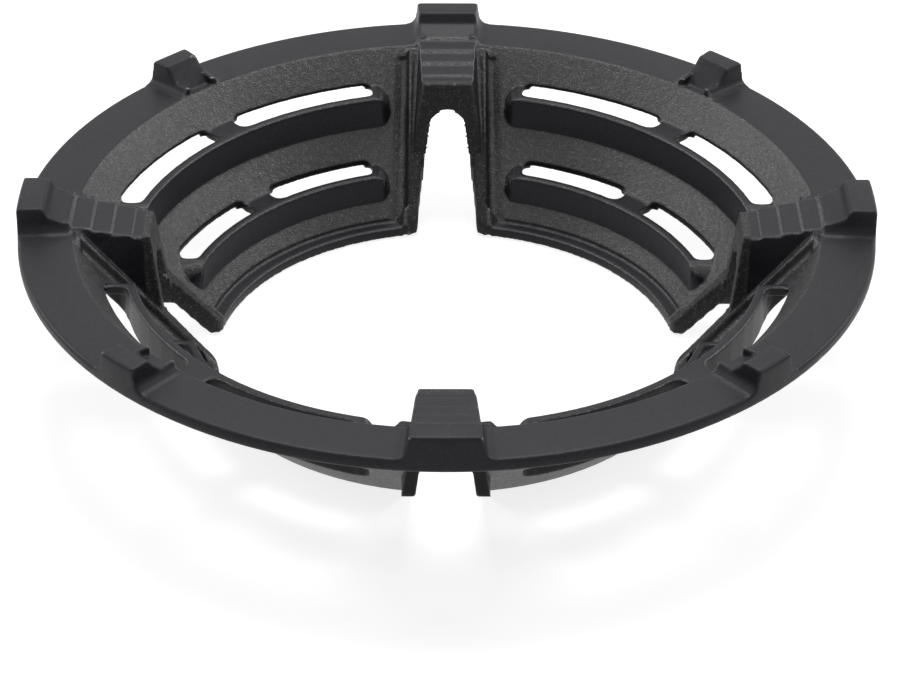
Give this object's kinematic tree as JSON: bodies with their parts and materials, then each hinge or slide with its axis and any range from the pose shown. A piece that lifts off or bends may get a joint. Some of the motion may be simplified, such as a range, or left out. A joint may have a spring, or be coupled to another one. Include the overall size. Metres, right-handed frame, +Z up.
{
  "type": "wok ring",
  "caption": "Round cast-iron wok ring: flat rim with raised lugs over a louvred bowl, open at the bottom and slotted for a hob's pan support.",
  "frame": {"origin": "centre of the rim's resting face, at the bottom of the open mouth", "axes": "+Z up, along the ring's axis; a slot lies on each of the X and Y axes, and the small lugs lie between them"},
  "size_m": [0.255, 0.255, 0.056],
  "materials": {
    "cast_iron": "as-cast black iron, fine orange-peel texture on the panels, smoother on the ring and lugs"
  },
  "bodies": {
    "root": {"wok_ring": "cast_iron"}
  },
  "joints": []
}
